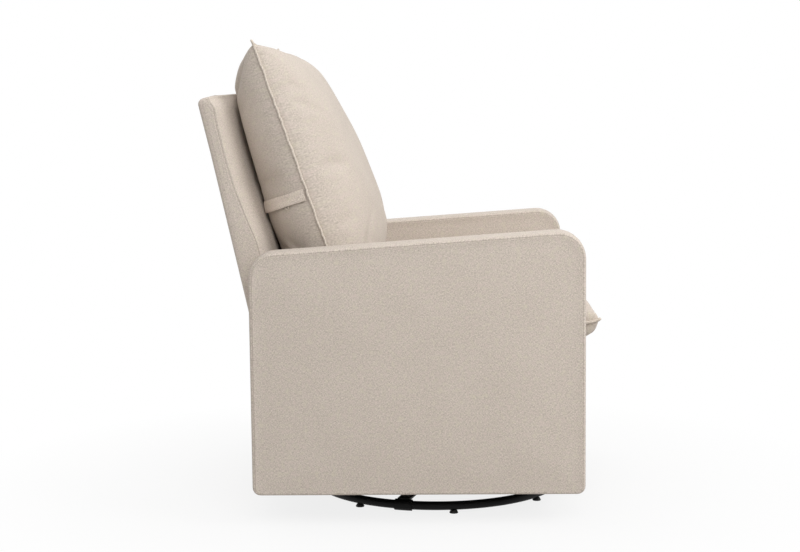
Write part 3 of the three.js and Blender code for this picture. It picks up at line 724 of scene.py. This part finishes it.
def sweep(name, path, up, section, material, body, closed=True, stands=(), sharp=None):
    # A closed section (sideways, upwards) carried along a path; the section may change from point to point.
    path = np.asarray(path, float)
    ahead = np.roll(path, -1, 0) - np.roll(path, 1, 0) if closed else np.gradient(path, axis=0)
    ahead = ahead / np.linalg.norm(ahead, axis=1, keepdims=True)
    side = np.cross(ahead, np.broadcast_to(np.asarray(up, float), path.shape))
    side = side / np.linalg.norm(side, axis=1, keepdims=True)
    rise = np.cross(side, ahead)
    section = np.broadcast_to(section, (len(path), *np.shape(section)[-2:]))
    section = np.concatenate([section, section[:, :1]], 1)
    place = path[:, None] + side[:, None] * section[..., :1] + rise[:, None] * section[..., 1:]
    run = np.concatenate([[0], np.cumsum(np.linalg.norm(np.diff(path, axis=0), axis=1))])
    around = np.concatenate([[0], np.cumsum(np.linalg.norm(np.diff(section[0], axis=0), axis=1))])
    if closed:
        place = np.concatenate([place, place[:1]])
        run = np.append(run, run[-1] + np.linalg.norm(path[0] - path[-1]))
    else:  # the ends close on the section's middle
        ends = [np.broadcast_to(place[k].mean(0), place[k].shape)[None] for k in (0, -1)]
        place = np.concatenate([ends[0], place, ends[1]])
        run = np.concatenate([run[:1], run, run[-1:]])
    weave = np.stack(np.broadcast_arrays(around[None, :], run[:, None]), -1)
    return meshOf(name, [(place, weave)], material, body, stands, sharp)


def circle(radius, count):
    turn = np.arange(count) * 2 * np.pi / count
    return np.stack([radius * np.cos(turn), radius * np.sin(turn)], -1)


def resample(path, step):  # the same closed path with its points evenly spaced
    path = np.vstack([path, path[:1]])
    run = np.concatenate([[0], np.cumsum(np.linalg.norm(np.diff(path, axis=0), axis=1))])
    even = np.linspace(0, run[-1], int(run[-1] / step), endpoint=False)
    return np.stack([np.interp(even, run, path[:, k]) for k in range(3)], -1), run, even


welt = {"step": 0.0012, "earReach": 0.0042, "sides": 8}


def sewWelt(name, points, index, normal, shape):
    # A covered cord round the seam, ribbed by its twist, whose ends stand out as a small ear at each corner.
    loop = np.concatenate([index[:-1, 0], index[-1, :-1], index[:0:-1, -1], index[0, :0:-1]])
    path, run, even = resample(points[loop], welt["step"])
    total = run[-1]
    corners = [run[0], run[index.shape[0] - 1], run[index.shape[0] + index.shape[1] - 2]]
    corners.append(run[2 * index.shape[0] + index.shape[1] - 3])
    for _ in range(2):
        path = (np.roll(path, 1, 0) + path + np.roll(path, -1, 0)) / 3
    centre = path.mean(0)
    for corner in corners:
        away = np.abs((even - corner + total / 2) % total - total / 2)[:, None]
        outward = path[away[:, 0].argmin()] - centre
        outward = outward / np.linalg.norm(outward)
        path = path + outward * shape["ear"] * np.exp(-((away / welt["earReach"]) ** 2))
    turn = np.arange(welt["sides"]) * 2 * np.pi / welt["sides"]
    rib = 1 + shape["rib"] * np.sin(turn[None, :] + even[:, None] * 2 * np.pi / shape["twist"])
    section = np.stack([np.cos(turn) * rib, np.sin(turn) * rib], -1) * shape["radius"]
    sweep(name, path, normal, section, weltCloth, "chair")


seat = {
    "count": (58, 62),
    "front": (0.0635, 7.0, 10.0, 4.2, 0.42, 0.0),  # depth, pu, pv below and above the middle, q, lean
    "rear": (0.0715, 12.0, 5.6, 5.2, 0.42, 0.0),
    "trim": (0.004, 0.012),  # how much narrower and shorter than its solid the panels are
    "seamBehind": 0.010,  # of the seam, behind the solid's front
    "seamRise": 0.0698,  # of the seam above the deck
    "pull": 0.005,
    "tipLift": 0.0100,  # how far its two front corners turn up, dying away over tipReach
    "tipReach": 0.020,
    "welt": {"radius": 0.0031, "twist": 0.0062, "rib": 0.10, "ear": 0.0003},
    "wave": 0.0016,
    "waveReach": 0.20,
    "sim": {"pressure": 2.5, "tension": 20, "bending": 0.6, "shrink": 0.0, "cap": 0.010},
}


def makeSeat():
    low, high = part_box("seat_cushion")
    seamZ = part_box("deck_pad")[1].z + seat["seamRise"]
    narrower, shorter = seat["trim"]
    shape = dict(seat, width=high.x - low.x - narrower, length=high.y - low.y - shorter)
    place = Matrix.Translation((0, low.y + seat["seamBehind"], seamZ))
    matrix = place @ Matrix.Rotation(-math.pi / 2, 4, "X")
    piece, index, _, _ = stuffedMesh("seatCushion", shape, matrix)
    points = inflate(piece, seat["sim"])
    fromCorner = np.hypot(np.abs(points[:, 0]) - shape["width"] / 2, points[:, 1] - low.y)
    points[:, 2] += seat["tipLift"] * np.exp(-((fromCorner / seat["tipReach"]) ** 2))
    wave = seat["wave"] * ripple(points[:, 0], points[:, 1], seat["waveReach"], 11)
    points[:, 2] += wave * (points[:, 2] > seamZ + 0.02)
    points[:, 2] = np.clip(points[:, 2], low.z + 0.0006, high.z + 0.006)  # flat where it lies on the deck
    points[:, 0] = np.clip(points[:, 0], low.x - 0.002, high.x + 0.002)
    finishCushion(piece, points, "seat_cushion")
    sewWelt("seatWelt", points, index, (0, 0, 1), seat["welt"])


pillow = {
    "count": (64, 66),
    "front": (0.113, 2.7, 3.6, 2.0, 0.40, -0.14),
    "rear": (0.1000, 4.4, 5.0, 4.2, 0.47, 0.0),
    "trim": 0.006,  # how much narrower than its solid the panels are
    "length": 0.573,
    "pull": 0.008,
    "rake": math.radians(19.0),
    "reach": 0.1306,  # from the inside back to the pillow's foot
    "sink": 0.0075,
    "welt": {"radius": 0.0026, "twist": 0.0052, "rib": 0.12, "ear": 0.0095},
    "dent": 0.0024,
    "dentReach": 0.17,
    "pucker": 0.0012,
    "sim": {"pressure": 3.0, "tension": 20, "bending": 0.5, "shrink": -0.01, "cap": 0.012},
}


def innerBack(z):  # the Y of the inside back's face at height z
    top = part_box("back_cover")[1]
    return top.y - back["topDepth"] - (top.z - z) * math.tan(back["innerRake"])


def makePillow():
    low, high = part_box("back_pillow")
    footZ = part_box("seat_cushion")[1].z - pillow["sink"]
    footY = innerBack(footZ) - pillow["reach"]
    shape = dict(pillow, width=high.x - low.x - pillow["trim"])
    matrix = Matrix.Translation((0, footY, footZ)) @ Matrix.Rotation(-pillow["rake"], 4, "X")
    piece, index, under, spread = stuffedMesh("backPillow", shape, matrix)
    points = inflate(piece, pillow["sim"])
    normal = np.array(matrix.to_3x3() @ Vector((0, -1, 0)))
    along = (points - np.array(matrix.translation)) @ np.array(matrix.to_3x3())
    bulge = np.clip(np.abs(along[:, 1]) / 0.06, 0, 1)
    dents = pillow["dent"] * ripple(along[:, 0], along[:, 2], pillow["dentReach"], 21) * bulge
    fromSide = np.minimum(shape["width"] / 2 - np.abs(along[:, 0]), along[:, 2])
    folds = np.sin(along[:, 2] * 170 + 3 * np.sin(along[:, 2] * 31))  # unevenly spaced, across the seam
    pucker = pillow["pucker"] * folds * np.exp(-fromSide / 0.03) * (fromSide > 0.002)
    points = points + normal * ((dents + pucker) * np.where(along[:, 1] < 0, 1, -1))[:, None]
    points[:, 2] = np.maximum(points[:, 2], low.z)
    points[:, 1] = np.minimum(points[:, 1], innerBack(points[:, 2]) - 0.0008)
    finishCushion(piece, points, "back_pillow")
    sewWelt("pillowWelt", points, index, normal, pillow["welt"])
    return points[under], spread


print("stage: cushions")
makeSeat()
pillowRear, pillowSpread = makePillow()

# Straps that tie the pillow to the back, and the thread loop that keeps each in place
strap = {
    "height": 0.2370,  # of its middle above the pillow's foot, along the pillow
    "start": 0.996,
    "end": 0.42,
    "width": 0.026,
    "thickness": 0.0022,
    "rows": 44,
    "lift": 0.0008,
    "droop": 0.0034,  # how far the lower edge stands off
    "rowPitch": 0.0045,
    "columnPitch": 0.0031,
    "loopAt": 0.93,
    "loopDrop": 0.0075,
    "loopHalfWidth": 0.0034,
    "loopRadius": 0.0010,
}


def onPillow(u, v):  # the point of the pillow's rear panel at u, v in -1..1, between its vertices
    column, row = [np.interp(t, spread, np.arange(len(spread))) for t, spread in zip((u, v), pillowSpread)]
    c = np.clip(column.astype(int), 0, pillowRear.shape[0] - 2)
    r = np.clip(row.astype(int), 0, pillowRear.shape[1] - 2)
    fc, fr = (column - c)[..., None], (row - r)[..., None]
    near = (1 - fr) * pillowRear[c, r] + fr * pillowRear[c, r + 1]
    far = (1 - fr) * pillowRear[c + 1, r] + fr * pillowRear[c + 1, r + 1]
    return (1 - fc) * near + fc * far


def makeStrap(side, sign):
    # A ribbon laid on the rear panel: rows run inwards from the side seam, columns run across its width.
    inward = np.linspace(strap["start"], strap["end"], strap["rows"]) * sign
    across = np.linspace(-0.5, 0.5, 9) * strap["width"]
    share = (strap["height"] + across) / pillow["length"] * 2 - 1
    u, v = np.meshgrid(inward, share, indexing="ij")
    at = onPillow(u, v)
    for _ in range(3):
        at[1:-1] = (at[:-2] + 2 * at[1:-1] + at[2:]) / 4
    normal = np.cross(np.gradient(at, axis=0), np.gradient(at, axis=1)) * sign
    normal = normal / np.linalg.norm(normal, axis=-1, keepdims=True)
    normal = normal * np.sign(normal[..., 1].mean())
    edge = 1 - (2 * across / strap["width"]) ** 6
    lift = strap["lift"] + strap["droop"] * (0.5 - across / strap["width"])
    upper = at + normal * (lift + strap["thickness"] * (0.5 + 0.5 * edge))[None, :, None]
    lower = at + normal * (lift + strap["thickness"] * (0.5 - 0.5 * edge))[None, :, None]
    ring = np.concatenate([upper, lower[:, -2:0:-1], upper[:, :1]], 1)
    ends = [np.broadcast_to(ring[k].mean(0), ring[k].shape)[None] for k in (0, -1)]
    ring = np.concatenate([ends[0], ring, ends[1]])
    columns, rows = np.arange(ring.shape[1]), np.arange(len(ring))
    u, v = np.meshgrid(columns * strap["columnPitch"], rows * strap["rowPitch"])
    weave = np.stack([u, v], -1)
    stands = [f"pillow_strap_{side}"]
    meshOf(f"pillowStrap_{side}", [(ring, weave)], clothStrapPaintedLight, "chair", stands, 50)
    row = int(np.argmin(np.abs(np.abs(inward) - strap["loopAt"])))
    turn = np.linspace(-0.3, np.pi + 0.3, 14)[:, None]
    down = at[row, 0] - at[row, 2]
    down = down / np.linalg.norm(down)
    middle = at[row, 0] + normal[row, 0] * 0.002
    aside = (at[row + 1, 0] - at[row, 0]) / strap["rowPitch"]
    path = middle + down * strap["loopDrop"] * np.sin(turn) + aside * strap["loopHalfWidth"] * np.cos(turn)
    thread = circle(strap["loopRadius"], 6)
    name = f"threadLoop_{side}"
    sweep(name, path, normal[row, 0], thread, weltCloth, "chair", closed=False)


makeStrap("left", 1)
makeStrap("right", -1)

# Base
ring = {"steps": 160, "sides": 24}


def makeRing():
    low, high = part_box("base_ring")
    tube = (high.z - low.z) / 2
    radius = (high.x - low.x) / 2 - tube
    turn = np.arange(ring["steps"]) * 2 * np.pi / ring["steps"]
    y, z = (low.y + high.y) / 2 + radius * np.sin(turn), (low.z + high.z) / 2 + 0 * turn
    path = np.stack([radius * np.cos(turn), y, z], -1)
    section = circle(tube, ring["sides"])
    sweep("baseRing", path, (0, 0, 1), section, blackCoat, "base", stands=["base_ring"])


foot = {  # its outline from the floor up, as shares of its radius and height
    "radii": (0, 0.80, 0.93, 0.985, 0.97, 0.76, 0.68, 0),
    "heights": (0, 0, 0.04, 0.14, 0.3, 0.9, 1.0, 1.0),
    "sides": 32,
}


def makeFoot(name, number):
    low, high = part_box(name)
    centre, radius, height = (low + high) / 2, (high.x - low.x) / 2, high.z - low.z
    turn = np.linspace(0, 2 * np.pi, foot["sides"] + 1)[None, :]
    reach, rise = np.array(foot["radii"])[:, None] * radius, np.array(foot["heights"])[:, None] * height
    x, y = centre.x + reach * np.cos(turn), centre.y + reach * np.sin(turn)
    place = np.stack([x, y, low.z + rise + 0 * turn], -1)
    weave = np.stack(np.broadcast_arrays(turn * radius, rise), -1)
    meshOf(f"glideFoot_{number}", [(place, weave)], blackNylon, "base", [name], 40)


print("stage: base")
makeRing()
for number in range(1, 9):
    makeFoot(f"foot_{number}", number)


# Stage, lights and camera
backdrop = {
    "floor": 0.62,  # the floor's own colour, which lights the chair from below
    "whiteNear": 0.84,  # how far seen rays turn white beside the chair
    "nearRadius": 0.35,
    "farRadius": 1.1,
    "soft": 0.52,  # strength of the light from all round
}


def seenRay(graph):  # 1 for rays that only show the background: camera, glossy and transmission rays
    kinds = ("Is Camera Ray", "Is Glossy Ray", "Is Transmission Ray")
    seen, mirrored, through = [graph.node("LightPath", out=kind) for kind in kinds]
    return seen.larger(mirrored).larger(through)


def makeStage():
    # Near the chair the floor is lit and keeps its shadow; further out the same rays meet plain white.
    bpy.ops.mesh.primitive_plane_add(size=60, location=(0, 0, 0))
    floor = bpy.context.object
    floor.name = "floor"
    floor.data.transform(Matrix.Translation((0, 0, -0.0006)))
    look = Finish("paleFloor", (backdrop["floor"],) * 3, 0.9, Specular_IOR_Level=0.1)
    place = look.node("TexCoord", out=3)
    x, y = [look.node("SeparateXYZ", Vector=place, out=k) for k in (0, 1)]
    away = (x * x + y * y) ** 0.5
    start, end = backdrop["nearRadius"], backdrop["farRadius"]
    whiteness = look.node("MapRange", i0=away, i1=start, i2=end, i3=backdrop["whiteNear"], i4=1.0)
    glow = look.node("Emission", Color=(1, 1, 1, 1), Strength=1.0)
    lit = Wire(look.tree, look.shader.outputs[0])
    both = look.node("MixShader", i0=seenRay(look) * whiteness, i1=lit, i2=glow)
    plug(look.tree, look.tree.nodes["Material Output"].inputs["Surface"], both)
    floor.data.materials.append(look.material)
    world = bpy.data.worlds.new("paleRoom")
    scene.world = world
    world.use_nodes = True
    room = Graph(world.node_tree)
    soft = room.node("Background", Color=(1.0, 0.992, 0.982, 1), Strength=backdrop["soft"])
    white = room.node("Background", Color=(1, 1, 1, 1), Strength=1.0)
    both = room.node("MixShader", i0=seenRay(room), i1=soft, i2=white)
    plug(room.tree, room.tree.nodes["World Output"].inputs["Surface"], both)


lamps = {  # name: (place, aim, size, watts)
    "key": ((-1.25, -2.55, 2.5), (0, -0.1, 0.6), 1.5, 52.5),
    "side": ((-2.9, -0.5, 2.7), (-0.2, 0.0, 0.6), 1.6, 46),
    "top": ((0.5, 0.3, 3.4), (0, 0.0, 0.5), 2.6, 26),
    "far": ((2.8, 2.0, 2.0), (0, 0.1, 0.5), 2.4, 30),
}


def makeLamps():
    for name, (place, aim, size, watts) in lamps.items():
        light = bpy.data.lights.new(name, "AREA")
        light.size, light.energy = size, watts
        lamp = bpy.data.objects.new(name, light)
        lamp.location = place
        lamp.rotation_euler = (Vector(aim) - Vector(place)).to_track_quat("-Z", "Y").to_euler()
        scene.collection.objects.link(lamp)


camera = {
    "place": (-3.6018, -0.0695, 0.8884),
    "forward": (0.99362, 0.02271, -0.11045),
    "roll": math.radians(-0.600),
    "lens": 70.38,
}


def makeCamera():
    data = bpy.data.cameras.new("camera")
    data.lens, data.sensor_width, data.sensor_fit = camera["lens"], 36.0, "HORIZONTAL"
    data.clip_start, data.clip_end = 0.05, 200
    eye = bpy.data.objects.new("camera", data)
    forward = Vector(camera["forward"]).normalized()
    right = forward.cross(Vector((0, 0, 1))).normalized()
    up = right.cross(forward)
    cos, sin = math.cos(camera["roll"]), math.sin(camera["roll"])
    right, up = right * cos + up * sin, up * cos - right * sin
    eye.matrix_world = Matrix((right, up, -forward)).transposed().to_4x4()
    eye.location = camera["place"]
    scene.collection.objects.link(eye)
    scene.camera = eye


print("stage: lights and camera")
makeStage()
makeLamps()
makeCamera()
scene.view_settings.view_transform = "Standard"
